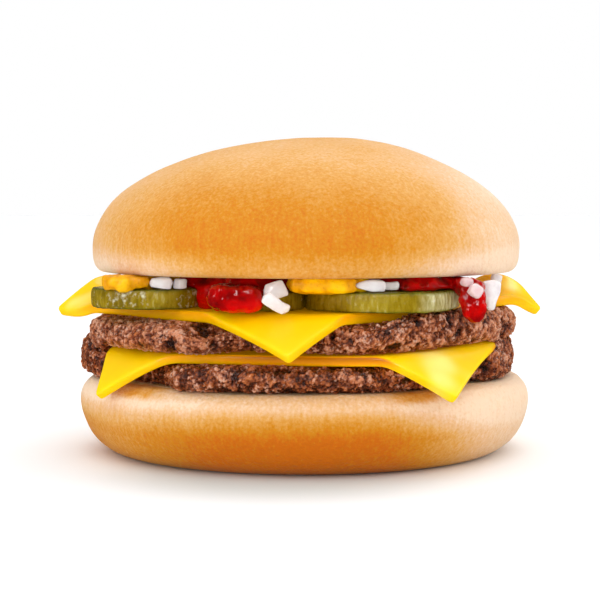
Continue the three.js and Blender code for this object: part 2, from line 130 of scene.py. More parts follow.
def lumps(points, size, seed=0.0):
    """Smooth lumps from -1 to 1, about size across."""
    scaled = points / size + seed
    corner = np.floor(scaled)
    share = smooth(0, 1, scaled - corner)
    total = np.zeros(len(points))
    for step in product((0, 1), repeat=3):
        weight = np.prod(np.where(step, share, 1 - share), axis=1)
        total += weight * lattice_value(*(corner + step).T)
    return 2 * total - 1


def crumbs(points, size, seed=0.0):
    """Splits space into crumbs round scattered spots. Gives how far each point lies inside its crumb, in
    shares of size, and a number from 0 to 1 that its crumb has."""
    scaled = points / size + seed
    cell = np.floor(scaled)
    nearest = np.full(len(points), 9.0)
    second = np.full(len(points), 9.0)
    number = np.zeros(len(points))
    for step in product((-1, 0, 1), repeat=3):
        near = cell + step
        shifts = [lattice_value(*(near + 37.0 * axis).T) for axis in (1, 2, 3)]
        distance = np.linalg.norm(near + np.stack(shifts, 1) - scaled, axis=1)
        second = np.minimum(second, np.maximum(nearest, distance))
        number = np.where(distance < nearest, lattice_value(*(near + 5.0).T), number)
        nearest = np.minimum(nearest, distance)
    return second - nearest, number


def node_box(node):
    """Lowest and highest corner of a node, in millimetres."""
    low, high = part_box(node)
    return np.array(low) / MM, np.array(high) / MM


# --------------------------------------------------------------------------------------------------------
# Meshes
# --------------------------------------------------------------------------------------------------------


def mesh_of(name, points, faces):
    """A smooth-shaded mesh from points in millimetres."""
    mesh = bpy.data.meshes.new(name)
    mesh.from_pydata((np.asarray(points) * MM).tolist(), [], [list(map(int, f)) for f in faces])
    mesh.validate()
    mesh.update()
    mesh.shade_smooth()
    return mesh


def points_of(mesh):
    """The points of a mesh in millimetres, one in each row."""
    flat = np.zeros(len(mesh.vertices) * 3)
    mesh.vertices.foreach_get("co", flat)
    return flat.reshape(-1, 3) / MM


def normals_of(mesh):
    flat = np.zeros(len(mesh.vertices) * 3)
    mesh.vertex_normals.foreach_get("vector", flat)
    return flat.reshape(-1, 3)


def set_points(mesh, points):
    mesh.vertices.foreach_set("co", (points * MM).ravel())
    mesh.update()


def pushed(mesh, heights):
    """Moves each point of a mesh out along its normal."""
    set_points(mesh, points_of(mesh) + normals_of(mesh) * heights[:, None])


def paint(mesh, name, values):
    """Keeps a number for each point, which a material reads by name."""
    attribute = mesh.attributes.new(name, "FLOAT", "POINT")
    attribute.data.foreach_set("value", np.asarray(values, np.float32))


def add_piece(node, mesh, material):
    """Makes the piece that stands for a node."""
    piece = bpy.data.objects.new(f"{node}.look", mesh)
    bpy.context.scene.collection.objects.link(piece)
    mesh.materials.clear()
    mesh.materials.append(material)
    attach(piece, "root")
    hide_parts(node)


def modified(mesh, *modifiers):
    """The mesh after some modifiers, each a type and its settings."""
    holder = bpy.data.objects.new("holder", mesh)
    bpy.context.scene.collection.objects.link(holder)
    for kind, settings in modifiers:
        modifier = holder.modifiers.new(kind, kind)
        for setting, value in settings.items():
            setattr(modifier, setting, value)
    graph = bpy.context.evaluated_depsgraph_get()
    made = bpy.data.meshes.new_from_object(holder.evaluated_get(graph))
    bpy.data.objects.remove(holder)
    made.shade_smooth()
    return made


def node_copy(node):
    """A node's own mesh, with the points that its faces share merged."""
    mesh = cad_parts[node].data.copy()
    shape = bmesh.new()
    shape.from_mesh(mesh)
    bmesh.ops.remove_doubles(shape, verts=shape.verts, dist=1e-6)
    shape.to_mesh(mesh)
    shape.free()
    mesh.materials.clear()
    return mesh


def even_copy(node, voxel, smoothing):
    """A node's shape as a fine, even mesh with its facets smoothed away."""
    return modified(
        node_copy(node),
        ("REMESH", {"mode": "VOXEL", "voxel_size": voxel * MM}),
        ("SMOOTH", {"factor": 0.5, "iterations": smoothing}),
    )


def evenly_spaced(line, step=None, count=None):
    """The same line with points about step apart, or with count points."""
    lengths = np.linalg.norm(np.diff(line, axis=0), axis=1)
    along = np.concatenate([[0], np.cumsum(lengths)])
    wanted = np.linspace(0, along[-1], count or int(along[-1] / step) + 2)
    return np.stack([np.interp(wanted, along, line[:, axis]) for axis in range(line.shape[1])], 1)


def quarter_curve(start, end, roundness):
    """A quarter of a superellipse from start, where it is level, to end, where it is upright."""
    t = np.linspace(0, np.pi / 2, 90)
    radius = start[0] + (end[0] - start[0]) * np.sin(t) ** (2 / roundness)
    height = end[1] - (end[1] - start[1]) * np.cos(t) ** (2 / roundness)
    return np.stack([radius, height], 1)


def rings_mesh(name, rings, ends):
    """A closed mesh from rings of points, listed upwards, and the two points that close it."""
    columns = rings.shape[1]
    points = rings.reshape(-1, 3)
    index = np.arange(len(points)).reshape(-1, columns)
    beside = np.roll(index, -1, axis=1)
    quads = np.stack([index[:-1], beside[:-1], beside[1:], index[1:]], -1).reshape(-1, 4)
    low_fan = [(len(points), b, a) for a, b in zip(index[0], beside[0])]
    high_fan = [(len(points) + 1, a, b) for a, b in zip(index[-1], beside[-1])]
    return mesh_of(name, np.vstack([points, ends]), [*quads, *low_fan, *high_fan])


def turned_mesh(name, profile, columns, place):
    """Turns a profile of [radius, height] points, listed upwards, round the axis into a closed mesh."""
    angles = np.linspace(0, FULL_TURN, columns, endpoint=False)
    radius, angle = np.meshgrid(profile[1:-1, 0], angles, indexing="ij")
    rings = place(radius, np.repeat(profile[1:-1, 1:], columns, axis=1), angle)
    ends = place(np.zeros(2), profile[[0, -1], 1], np.zeros(2))
    return rings_mesh(name, rings, ends)


# --------------------------------------------------------------------------------------------------------
# Materials
# --------------------------------------------------------------------------------------------------------


class Finish:
    """A material. Its methods add nodes and return the socket that holds their result."""

    def __init__(self, name, **settings):
        self.material = bpy.data.materials.new(name)
        self.material.use_nodes = True
        self.tree = self.material.node_tree
        self.shader = self.tree.nodes["Principled BSDF"]
        self.set(**settings)
        self.place = self.scaled(self.add("ShaderNodeTexCoord").outputs["Object"], 1 / MM)

    def set(self, **settings):
        """Sets or links the shader's sockets. An underscore in a name stands for a space."""
        for name, value in settings.items():
            self.feed(self.shader.inputs[name.replace("_", " ")], value)

    def soften(self, weight, reach):
        """Lets light in. reach is how many millimetres red, green and blue travel."""
        self.set(Subsurface_Weight=weight, Subsurface_Scale=MM, Subsurface_Radius=reach)

    def feed(self, socket, value):
        """Sets a socket to a value, or links another socket to it."""
        if isinstance(value, bpy.types.NodeSocket):
            self.tree.links.new(value, socket)
        elif isinstance(value, tuple) and len(value) == 3 and socket.type == "RGBA":
            socket.default_value = (*value, 1)
        else:
            socket.default_value = value

    def add(self, kind, inputs=None, **settings):
        node = self.tree.nodes.new(kind)
        for name, value in settings.items():
            setattr(node, name, value)
        for name, value in (inputs or {}).items():
            self.feed(node.inputs[name], value)
        return node

    def scaled(self, vector, factor):
        inputs = {0: vector, "Scale": factor}
        return self.add("ShaderNodeVectorMath", inputs, operation="SCALE").outputs[0]

    def stretched(self, x, y, z):
        """The place, with each axis multiplied."""
        inputs = {0: self.place, 1: (x, y, z)}
        return self.add("ShaderNodeVectorMath", inputs, operation="MULTIPLY").outputs[0]

    def noise(self, size, detail=2.0, rough=0.5, place=None):
        """Noise from 0 to 1 with lumps about size millimetres across."""
        inputs = {"Scale": 1 / size, "Detail": detail, "Roughness": rough, "Vector": place or self.place}
        return self.add("ShaderNodeTexNoise", inputs).outputs["Fac"]

    def cells(self, size):
        """How far off the nearest of scattered spots is. They are about size millimetres apart."""
        inputs = {"Scale": 1 / size, "Vector": self.place}
        return self.add("ShaderNodeTexVoronoi", inputs).outputs["Distance"]

    def painted(self, name):
        """The number that paint() kept under a name."""
        return self.add("ShaderNodeAttribute", attribute_name=name).outputs["Fac"]

    def math(self, operation, a, b=0.0, clamp=False):
        inputs = {0: a, 1: b}
        return self.add("ShaderNodeMath", inputs, operation=operation, use_clamp=clamp).outputs[0]

    def swing(self, value):
        """A value from 0 to 1 as one from -0.5 to 0.5."""
        return self.math("SUBTRACT", value, 0.5)

    def sum(self, base, *parts):
        """base plus each part, a pair of a socket and a factor."""
        for socket, factor in parts:
            base = self.math("ADD", base, self.math("MULTIPLY", socket, factor))
        return base

    def ramp(self, value, *stops):
        """Stops are pairs of a position and a colour or grey."""
        node = self.add("ShaderNodeValToRGB", {"Fac": value})
        elements = node.color_ramp.elements
        while len(elements) < len(stops):
            elements.new(0.5)
        for element, (position, colour) in zip(elements, stops):
            colour = colour if isinstance(colour, tuple) else (colour,) * 3
            element.position = position
            element.color = (*colour, 1)
        return node.outputs["Color"]

    def mix(self, share, a, b):
        inputs = {0: share, 6: a, 7: b}
        return self.add("ShaderNodeMix", inputs, data_type="RGBA").outputs[2]

    def bump(self, height, depth, under=None):
        """Relief of depth millimetres at most. under is another bump that it adds to."""
        inputs = {"Height": height, "Strength": 1.0, "Distance": depth * MM}
        if under:
            inputs["Normal"] = under
        return self.add("ShaderNodeBump", inputs).outputs[0]


def colour(red, green, blue):
    """A colour as a screen shows it, 0 to 255, as the linear colour that a shader takes."""
    share = np.array([red, green, blue]) / 255
    linear = np.where(share <= 0.04045, share / 12.92, ((share + 0.055) / 1.055) ** 2.4)
    return tuple(float(c) for c in linear)


def crust_finish():
    """Baked crust: its painted browning, with painted light and shade mixed in, runs from pale dough to
    golden brown. "crumb" marks the cut face.
    """
    finish = Finish("crust", Roughness=0.6, Specular_IOR_Level=0.15)
    finish.set(Sheen_Weight=0.1, Sheen_Roughness=0.45, Sheen_Tint=(1.0, 0.85, 0.65))
    finish.soften(0.1, (3.0, 1.4, 0.6))
    pores = finish.noise(0.6, 3, 0.6)
    patches = finish.noise(14, 3)
    streaks = finish.noise(0.9, 2, place=finish.stretched(1, 1, 0.12))
    baked = finish.sum(
        finish.painted("baked"),
        (finish.swing(pores), 0.55),
        (finish.swing(patches), 0.26),
        (finish.swing(streaks), 0.32),
    )
    crust = finish.ramp(
        baked,
        (0.0, colour(238, 208, 178)),
        (0.25, colour(228, 184, 138)),
        (0.5, colour(219, 160, 80)),
        (0.75, colour(208, 134, 18)),
        (1.0, colour(206, 106, 0)),
    )
    holes = finish.cells(1.6)
    crumb = finish.ramp(
        finish.sum(holes, (finish.noise(6, 3), 0.5)),
        (0.2, colour(196, 130, 58)),
        (0.6, colour(240, 205, 150)),
        (0.9, colour(250, 228, 185)),
    )
    finish.set(Base_Color=finish.mix(finish.painted("crumb"), crust, crumb))
    dimples = finish.bump(finish.noise(0.8, 3, 0.6), 0.3)
    finish.set(Normal=finish.bump(finish.cells(1.1), 0.1, dimples))
    return finish.material


def beef_finish():
    """Ground beef: painted "depth" is 0 in the pits and 1 on the crests, and darkens the pits as painted
    shade and lightens the crests as painted highlight. "tone" differs between crumbs. Pale flecks lie over
    it,
    most on the crests: partly fat, partly painted glints."""
    finish = Finish("beef", IOR=1.42)
    finish.soften(0.06, (1.5, 0.6, 0.4))
    grain = finish.noise(0.5, 4, 0.75)
    # Painted shade in the pits and painted highlight on the crests.
    level = finish.sum(finish.painted("depth"), (finish.swing(grain), 1.2))
    lean = finish.ramp(
        level,
        (0.08, colour(20, 7, 3)),
        (0.4, colour(72, 27, 10)),
        (0.62, colour(134, 62, 26)),
        (0.88, colour(198, 114, 62)),
    )
    pink = finish.ramp(
        level,
        (0.08, colour(26, 9, 6)),
        (0.4, colour(80, 33, 18)),
        (0.62, colour(140, 70, 40)),
        (0.88, colour(208, 134, 94)),
    )
    tone = finish.sum(finish.painted("tone"), (finish.swing(finish.noise(5, 2)), 1.4))
    meat = finish.mix(finish.ramp(tone, (0.4, 0.0), (0.75, 1.0)), lean, pink)
    # Pale flecks, mostly on the crests: partly fat, partly painted glints.
    flecks = finish.sum(
        finish.noise(0.7, 3, 0.65),
        (finish.swing(finish.noise(4.5, 2)), 0.5),
        (finish.swing(finish.painted("depth")), 0.35),
    )
    fat = finish.ramp(flecks, (0.6, 0.0), (0.74, 0.7))
    finish.set(
        Base_Color=finish.mix(fat, meat, colour(226, 180, 156)),
        Roughness=finish.ramp(finish.noise(1.2, 2), (0.4, 0.14), (0.62, 0.4)),
        Normal=finish.bump(finish.noise(0.5, 3, 0.6), 0.35, finish.bump(finish.cells(0.8), 0.25)),
    )
    return finish.material


def cheese_finish():
    """Processed cheese: painted "cut" is 0 on its faces, and grows to 0.5 and 1 on its cut edges, as painted
    shade in orange and brown where they lie flat. "pale" is 1 where a highlight is painted in paler yellow.
    A faint glow keeps its shadows from turning olive."""
    finish = Finish("cheese", Roughness=0.26, Specular_IOR_Level=0.25)
    finish.set(Emission_Color=(1.0, 0.45, 0.0), Emission_Strength=0.1)
    finish.soften(0.5, (4.5, 4.0, 0.4))
    face = finish.ramp(finish.noise(11, 2), (0.3, colour(255, 197, 0)), (0.7, colour(255, 206, 0)))
    # Painted highlight in paler yellow.
    milky = finish.mix(finish.painted("pale"), face, colour(255, 232, 128))
    # Painted shade on the flat edges: orange, and brown where it is deepest.
    cut = finish.ramp(finish.painted("cut"), (0.5, colour(255, 160, 0)), (1.0, colour(164, 88, 0)))
    on_cut = finish.math("MULTIPLY", finish.painted("cut"), 2.0, clamp=True)
    finish.set(
        Base_Color=finish.mix(on_cut, milky, cut),
        Normal=finish.bump(finish.noise(7, 1), 0.25, finish.bump(finish.noise(0.6, 2), 0.02)),
    )
    return finish.material


def pickle_finish():
    """A pickle chip: painted "skin" is 1 on its side and 0 on its cut faces, and "rind" is 1 at the side's
    edges and near them on the cut faces. "pale" is 1 where the skin is pale, and "specked" where it has more
    pale specks, which are painted glints."""
    finish = Finish("pickle", Roughness=0.12, IOR=1.4)
    finish.soften(0.3, (1.6, 1.8, 0.6))
    streaks = finish.noise(0.8, 3, place=finish.stretched(1, 1, 0.3))
    patches = finish.noise(7, 2)
    skin = finish.ramp(
        finish.sum(0.0, (streaks, 0.5), (patches, 0.6)),
        (0.38, colour(112, 92, 2)),
        (0.54, colour(140, 116, 6)),
        (0.7, colour(164, 142, 36)),
        (0.86, colour(214, 202, 140)),
    )
    pale = finish.ramp(streaks, (0.3, colour(136, 122, 46)), (0.7, colour(204, 196, 148)))
    skin = finish.mix(finish.painted("pale"), skin, pale)
    flesh = finish.ramp(
        finish.sum(finish.noise(3, 3), (finish.cells(2.5), 0.2)),
        (0.3, colour(138, 132, 16)),
        (0.8, colour(186, 180, 74)),
    )
    rind = finish.ramp(streaks, (0.3, colour(64, 66, 2)), (0.7, colour(104, 104, 10)))
    # Pale specks painted as glints, more where they are painted in.
    specks = finish.sum(finish.noise(1.5, 3, 0.6), (finish.painted("specked"), 0.14))
    skin = finish.mix(finish.ramp(specks, (0.66, 0.0), (0.84, 0.75)), skin, colour(228, 224, 196))
    side = finish.mix(finish.math("MULTIPLY", finish.painted("rind"), 0.5), skin, rind)
    cut_face = finish.mix(finish.painted("rind"), flesh, rind)
    finish.set(
        Base_Color=finish.mix(finish.painted("skin"), cut_face, side),
        Normal=finish.bump(streaks, 0.25, finish.bump(finish.noise(0.8, 3, 0.6), 0.25)),
    )
    return finish.material


def ketchup_finish():
    """Ketchup: painted "depth" is 0 in its hollows and 1 on its crests, and paints shade into the hollows."""
    finish = Finish("ketchup", Roughness=0.1, IOR=1.4, Specular_IOR_Level=0.4)
    finish.soften(0.1, (1.8, 0.1, 0.05))
    level = finish.sum(finish.painted("depth"), (finish.swing(finish.noise(2, 3)), 0.8))
    finish.set(
        Base_Color=finish.ramp(
            level, (0.15, colour(104, 0, 0)), (0.55, colour(166, 0, 0)), (0.95, colour(206, 4, 2))
        ),
        Normal=finish.bump(finish.noise(1.5, 2), 0.3),
    )
    return finish.material


def mustard_finish():
    """Mustard: painted "depth" is 0 in its hollows and 1 on its crests, and paints shade into the hollows."""
    finish = Finish("mustard", Roughness=0.26, IOR=1.42, Specular_IOR_Level=0.35)
    finish.soften(0.25, (2.0, 1.2, 0.1))
    specks = finish.ramp(finish.noise(0.5, 2), (0.3, colour(214, 146, 0)), (0.45, colour(246, 186, 0)))
    level = finish.sum(finish.painted("depth"), (finish.swing(finish.noise(4, 2)), 0.5))
    tint = finish.ramp(
        level, (0.1, colour(204, 128, 0)), (0.45, colour(242, 172, 0)), (0.85, colour(254, 204, 4))
    )
    finish.set(
        Base_Color=finish.mix(0.35, tint, specks),
        Normal=finish.bump(finish.noise(1.6, 4), 0.35),
    )
    return finish.material


def onion_finish():
    """Raw onion: painted "stained" is how red the ketchup has made it. A faint glow keeps it white in the
    shade of the bun."""
    finish = Finish("onion", Roughness=0.1, IOR=1.4, Transmission_Weight=0.25)
    finish.set(Emission_Color=(1.0, 0.96, 0.98), Emission_Strength=0.06)
    finish.soften(0.8, (4.0, 3.6, 3.6))
    veins = finish.noise(1.6, 2, place=finish.stretched(0.4, 1, 1))
    clean = finish.ramp(veins, (0.3, colour(232, 222, 224)), (0.7, colour(252, 248, 248)))
    finish.set(
        Base_Color=finish.mix(finish.painted("stained"), clean, colour(226, 96, 100)),
        Normal=finish.bump(veins, 0.2),
    )
    return finish.material


# --------------------------------------------------------------------------------------------------------
# Buns
# --------------------------------------------------------------------------------------------------------


def bun_place(bun, lean):
    """Puts a point of a bun's profile in place. lean moves each height along X."""

    def place(radius, height, angle):
        wave = 0.004 * np.sin(2 * angle + bun["phase"]) + 0.003 * np.sin(3 * angle - 2 * bun["phase"])
        reach = radius * (1 + wave)
        x = bun["centre_x"] + lean(height) + reach * np.cos(angle)
        return np.stack([x, reach * np.sin(angle), height], -1)

    return place


def wrinkled(mesh, depth, where):
    """Pushes fine upright wrinkles into a crust, as deep as depth times where."""
    points = points_of(mesh)
    angle = np.arctan2(points[:, 1], points[:, 0])
    warp = 1.5 * lumps(points, 7, 5)
    around = np.stack([46 * angle / 1.7 + warp, points[:, 2] / 6, 0 * angle], 1)
    ridges = 1 - 2 * np.abs(lumps(around, 1.0, 3))
    pushed(mesh, depth * where * ridges)


BUN_COLUMNS = 520
# Darker, more orange spots on the heel's rim: partly toasting, partly painted shade and reflection of the
# cheese above.
TOASTED_SPOTS = np.array([(-33, -34, 7), (24, -41, 6), (-38, 30, 8), (30, 37, 7)])  # X, Y and size


def bun_bottom_mesh():
    """Darkest at its foot and in the middle of the front and back, paler at its ends and on the right: partly
    baking, partly painted light and shade, as if lit from the right and the sides. Its rim has darker spots:
    partly toasting, partly painted shade and reflection of the cheese above.
    """
    bun = BUN_BOTTOM
    height = node_box("bun_bottom")[1][2]
    widest = (bun["radius"], bun["widest_at"])
    foot = quarter_curve((bun["foot_radius"], 0), widest, 1.8)
    shoulder = quarter_curve((bun["cut_radius"], height), widest, 2.1)[::-1]
    outside = evenly_spaced(np.vstack([foot, shoulder]), step=0.55)
    base = np.stack([np.linspace(0, bun["foot_radius"], 12), np.zeros(12)], 1)
    cut = np.stack([np.linspace(bun["cut_radius"], 0, 40), np.full(40, height)], 1)
    profile = np.vstack([base[:-1], outside, cut[1:]])
    mesh = turned_mesh("bun_bottom", profile, BUN_COLUMNS, bun_place(bun, np.zeros_like))
    points = points_of(mesh)
    x, z = points[:, 0] - bun["centre_x"], points[:, 2]
    radius = np.hypot(x, points[:, 1])
    side = smooth(0.2, 3, z) * (1 - smooth(height - 0.6, height, z))
    pushed(mesh, side * (0.3 * lumps(points, 15, 2) + 0.08 * lumps(points, 4)))
    wrinkled(mesh, 0.09, side * (0.5 + lumps(points, 20, 8)).clip(0.15, 1.2))
    ends = smooth(0.3, 0.9, np.abs(x) / bun["radius"])
    # Browning with painted light and shade in it: paler at the ends and on the right, darker on the left.
    baked = 1.0 - 0.4 * smooth(7, 12.5, z) - 0.42 * smooth(11.5, 15, z) - 0.55 * ends
    baked += 0.32 * smooth(25, 48, -x) - 0.3 * smooth(10, 40, x)
    # Darker along the top edge, most in the spots: partly toasting, partly painted shade and reflection of
    # the cheese.
    stained = sum(np.exp(-((np.hypot(*(points - spot).T[:2]) / spot[2]) ** 2)) for spot in TOASTED_SPOTS)
    toasted = smooth(height - 3, height - 1, z) * (0.15 + stained * (0.9 + 0.5 * lumps(points, 2.5, 4)))
    paint(mesh, "baked", (baked + 0.7 * toasted).clip(0, 1))
    paint(mesh, "crumb", (z > height - 0.05) & (radius < bun["cut_radius"] - 2.0))
    return mesh


def bun_top_mesh():
    """Darkest in a band above its rim, and paler at its rim, its ends, its top and its right side: partly
    baking, partly painted light where it falls on the top, the ends and the right.
    """
    bun = BUN_TOP
    low, high = node_box("bun_top")
    cut_at, top = low[2], high[2]
    widest = (bun["radius"], bun["widest_at"])
    rim = quarter_curve((bun["cut_radius"], cut_at), widest, 3)
    dome = quarter_curve((0, top), widest, 1.94)[::-1]
    outside = evenly_spaced(np.vstack([rim, dome]), step=0.62)
    cut = np.stack([np.linspace(0, bun["cut_radius"], 40), np.full(40, cut_at)], 1)
    profile = np.vstack([cut[:-1], outside])
    rise = top - bun["widest_at"]

    def lean(z):
        return bun["peak_shift"] * np.clip((z - bun["widest_at"]) / rise, 0, 1) ** 6

    mesh = turned_mesh("bun_top", profile, BUN_COLUMNS, bun_place(bun, lean))
    points = points_of(mesh)
    x, z = points[:, 0] - bun["centre_x"], points[:, 2]
    radius = np.hypot(x, points[:, 1])
    outer = smooth(0.02, 0.8, z - cut_at)
    pushed(mesh, outer * (0.35 * lumps(points, 17, 6) + 0.06 * lumps(points, 4, 1)))
    wrinkled(mesh, 0.05, outer * (1 - smooth(cut_at + 5, cut_at + 14, z)))
    ends = smooth(0.4, 1, np.abs(x) / bun["radius"])
    near_rim = 1 - smooth(1, 7, z - cut_at)
    # Browning with painted light in it: paler at the ends, the top and the right.
    baked = 0.8 - near_rim * (0.24 + 0.2 * smooth(12, 34, np.abs(x)))
    baked -= 0.44 * ends * (1 - 0.7 * smooth(54, 68, z))
    baked += 0.06 * smooth(8, 40, -x) - 0.35 * smooth(51, 66, z) - 0.28 * smooth(8, 42, x)
    paint(mesh, "baked", baked.clip(0, 1))
    paint(mesh, "crumb", (z < cut_at + 0.05) & (radius < bun["cut_radius"] - 0.5))
    return mesh


# --------------------------------------------------------------------------------------------------------
# Patties
# --------------------------------------------------------------------------------------------------------


FACE_RADII = (10, 20, 28, 34, 38, 40)  # the rim of a patty is drawn from inside the last of these
RIM_TILTS = np.radians(np.linspace(-90, 90, 91))
RIM_COLUMNS, RIM_ROWS = 1060, 74
LIP_RISE = {"lower": 3.0, "upper": 1.2}  # how far the rims swell towards each other beside the slice
CRUMB_SIZES = (1.6, 0.85)


def patty_surface(node):
    """A patty's node as rings of points that lie close together on its rim and wide apart on its faces."""
    shape = even_copy(node, voxel=0.8, smoothing=6)
    tree = BVHTree.FromPolygons(points_of(shape).tolist(), [f.vertices[:] for f in shape.polygons])
    far = 200.0

    def face(x, y, side):
        """Where an upright line meets the top, for side 1, or the underside, for side -1."""
        return tree.ray_cast(Vector((x, y, side * far)), Vector((0, 0, -side)))[0]

    columns = []
    for angle in np.linspace(0, FULL_TURN, RIM_COLUMNS, endpoint=False):
        x, y = np.cos(angle), np.sin(angle)
        bottom, top = ([face(r * x, r * y, side) for r in FACE_RADII] for side in (-1, 1))
        hub = (bottom[-1] + top[-1]) / 2
        ways = [Vector((x * np.cos(tilt), y * np.cos(tilt), np.sin(tilt))) for tilt in RIM_TILTS]
        rim = evenly_spaced(np.array([tree.ray_cast(hub, way)[0] for way in ways]), count=RIM_ROWS)
        columns.append(np.vstack([bottom[:-1], rim, top[-2::-1]]))
    return np.stack(columns, 1), np.array([face(0, 0, -1), face(0, 0, 1)])


def past_edge(cheese, x, y):
    """How far a point lies past the nearest edge of a slice that lies flat. Under it, that is below 0."""
    angle = np.pi / 4 - cheese["turn"]
    from_x, from_y = x - cheese["centre"][0], y - cheese["centre"][1]
    u = from_x * np.cos(angle) - from_y * np.sin(angle)
    v = from_x * np.sin(angle) + from_y * np.cos(angle)
    return np.maximum(np.abs(u), np.abs(v)) - cheese["side"] / 2


def towards_neighbour(height, node, upper):
    """1 on the face that a patty turns to the other one, and 0 well inside it."""
    low, high = node_box(node)
    swollen, fading = 1.2, 4.5  # the depths over which it is 1, and over which it falls to 0
    depth = height - low[2] - swollen if upper else high[2] - swollen - height
    return 1 - smooth(0, fading, depth)


def patty_mesh(node, seed, upper, browned):
    """Ground beef: crumbs pressed together at odd heights, with pits and cracks between them. Past the edge
    of the slice between them, the two patties swell to meet. The last argument makes one darker and less
    pink."""
    rings, middle = patty_surface(node)
    mesh = rings_mesh(node, rings, middle)
    points = points_of(mesh)
    radius = np.hypot(points[:, 0], points[:, 1])
    outer = smooth(32, 41, radius)
    past = past_edge(CHEESE_LOWER, points[:, 0], points[:, 1])
    beside = smooth(0.1, 1.7, past) * smooth(36, 42, np.abs(points[:, 0])) * outer
    rise = -LIP_RISE["upper"] if upper else LIP_RISE["lower"]
    points[:, 2] += rise * beside * towards_neighbour(points[:, 2], node, upper)
    points[:, :2] *= (1 + 0.012 * lumps(points, 5.5, seed + 7) * outer)[:, None]
    set_points(mesh, points)
    warp = np.stack([lumps(points, 1.5, seed + k) + 0.5 * lumps(points, 0.7, seed + k) for k in (1, 2, 3)], 1)
    inside, number = crumbs(points + 0.8 * warp, CRUMB_SIZES[0], seed)
    fine_inside, fine_number = crumbs(points + 0.35 * warp, CRUMB_SIZES[1], seed + 9)
    pits = smooth(0.25, 0.8, lumps(points, 2.2, seed + 5))
    relief = 0.3 * smooth(0.0, 0.3, inside) + 0.42 * (number - 0.5)
    relief += 0.2 * smooth(0.0, 0.3, fine_inside) + 0.3 * (fine_number - 0.5)
    relief += 0.1 * lumps(points, 0.65, seed + 2) - 0.45 * pits
    pushed(mesh, (relief - 0.1) * outer)
    paint(mesh, "depth", (0.44 - 0.1 * browned + 0.8 * relief).clip(0, 1))
    paint(mesh, "tone", (0.5 * number + 0.3 * fine_number + 0.15 - 0.25 * browned).clip(0, 1))
    return mesh


# --------------------------------------------------------------------------------------------------------
# Cheese
# --------------------------------------------------------------------------------------------------------


LOWER_PATTY_TOP = 22.1
UPPER_PATTY_TOP = 30.5


def lower_slice_rest(x, y):
    """The lower patty's top, which rises a little to the right, with the gap above it."""
    return LOWER_PATTY_TOP + 1.3 * smooth(5, 46, x) + LAYER_GAP


def upper_patty_top(x, y):
    """It rises a little to the right and to the back."""
    return UPPER_PATTY_TOP + 2 * smooth(28, 48, x) + 1.5 * smooth(6, 34, y)


def upper_slice_rest(x, y):
    """The height of the upper patty's top, from which the slice arches up at its left and right corners."""
    flat = upper_patty_top(x, y) + LAYER_GAP
    arch = smooth(ARCH["from_x"], ARCH["to_x"], np.abs(x)) * smooth(ARCH["from_y"], ARCH["to_y"], y)
    return flat + (ARCH["level"] - flat) * arch


def blended(values, cheese, azimuth, slants=(0, 0, 0, 0)):
    """A value in a direction from the middle, blended from the values at the four corners. With slants it
    also grows or shrinks across each corner."""
    total = 0
    for corner, (value, slant) in enumerate(zip(values, slants)):
        off = azimuth - cheese["turn"] - corner * np.pi / 2
        total = total + (value + slant * np.sin(off)) * np.cos(off).clip(0) ** 2
    return total


def draped(cheese, u, v, rest):
    """Where points of the flat slice come to lie, on its underside."""
    angle = cheese["turn"] - np.pi / 4
    flat_x = cheese["centre"][0] + u * np.cos(angle) - v * np.sin(angle)
    flat_y = cheese["centre"][1] + u * np.sin(angle) + v * np.cos(angle)
    distance = np.hypot(flat_x, flat_y)
    azimuth = np.arctan2(flat_y, flat_x)
    fold = blended(cheese["folds"], cheese, azimuth, cheese["slants"])
    slope = blended(cheese["droops"], cheese, azimuth)
    bend = cheese["bend_radius"]
    past = (distance - fold).clip(0)
    arc = np.minimum(past, bend * slope)
    reach = bend * np.sin(arc / bend) + (past - arc) * np.cos(slope)
    shrink = (np.minimum(distance, fold) + reach) / distance.clip(1e-6)
    x, y = flat_x * shrink, flat_y * shrink
    down = bend * (1 - np.cos(arc / bend)) + (past - arc) * np.sin(slope)
    return np.stack([x, y, rest(x, y) - down], -1)


SLICE_EDGE, SLICE_CORNER, SLICE_CELLS = 0.55, 1.1, 110
TIP_REACH = 14  # how far from the front left corner a slice is stretched
CUT_TONE_CHANGE = (-24, -8)  # the X values between which the tone of the cut edges changes


def slice_grid(half):
    """A square grid in a slice's own plane, with rounded corners, and how thick the slice is at each point,
    where its middle has 1."""
    edge, corner, cells = SLICE_EDGE, SLICE_CORNER, SLICE_CELLS
    inner = np.linspace(-half + edge, half - edge, cells)
    turn = np.radians([30, 60, 90])
    outer = half - edge + edge * np.sin(turn)
    along = np.concatenate([-outer[::-1], inner, outer])
    drop = np.concatenate([np.cos(turn)[::-1], np.ones(cells), np.cos(turn)])
    u, v = np.meshgrid(along, along)
    level = np.outer(drop, drop)
    past_u = (np.abs(u) - half + corner).clip(0)
    past_v = (np.abs(v) - half + corner).clip(0)
    pull = np.maximum(past_u, past_v) / np.hypot(past_u, past_v).clip(1e-9)
    pull = np.where((past_u > 0) & (past_v > 0), pull, 1)
    u = np.where(past_u > 0, np.sign(u) * (half - corner + past_u * pull), u)
    v = np.where(past_v > 0, np.sign(v) * (half - corner + past_v * pull), v)
    return u, v, level


def pulled_out(cheese, u, v):
    """Makes the front left corner longer, and pulls the right side out, most towards its middle."""
    half = cheese["side"] / 2
    at_tip = cheese["tip"] * smooth(half - TIP_REACH, half, u) * smooth(half - TIP_REACH, half, -v)
    u, v = u + at_tip, v - at_tip
    from_front = ((half - u) / (half + 5)).clip(0, 1)
    return u, v + cheese["slip"] * smooth(5, half, v) * smooth(-25, -3, u) * from_front


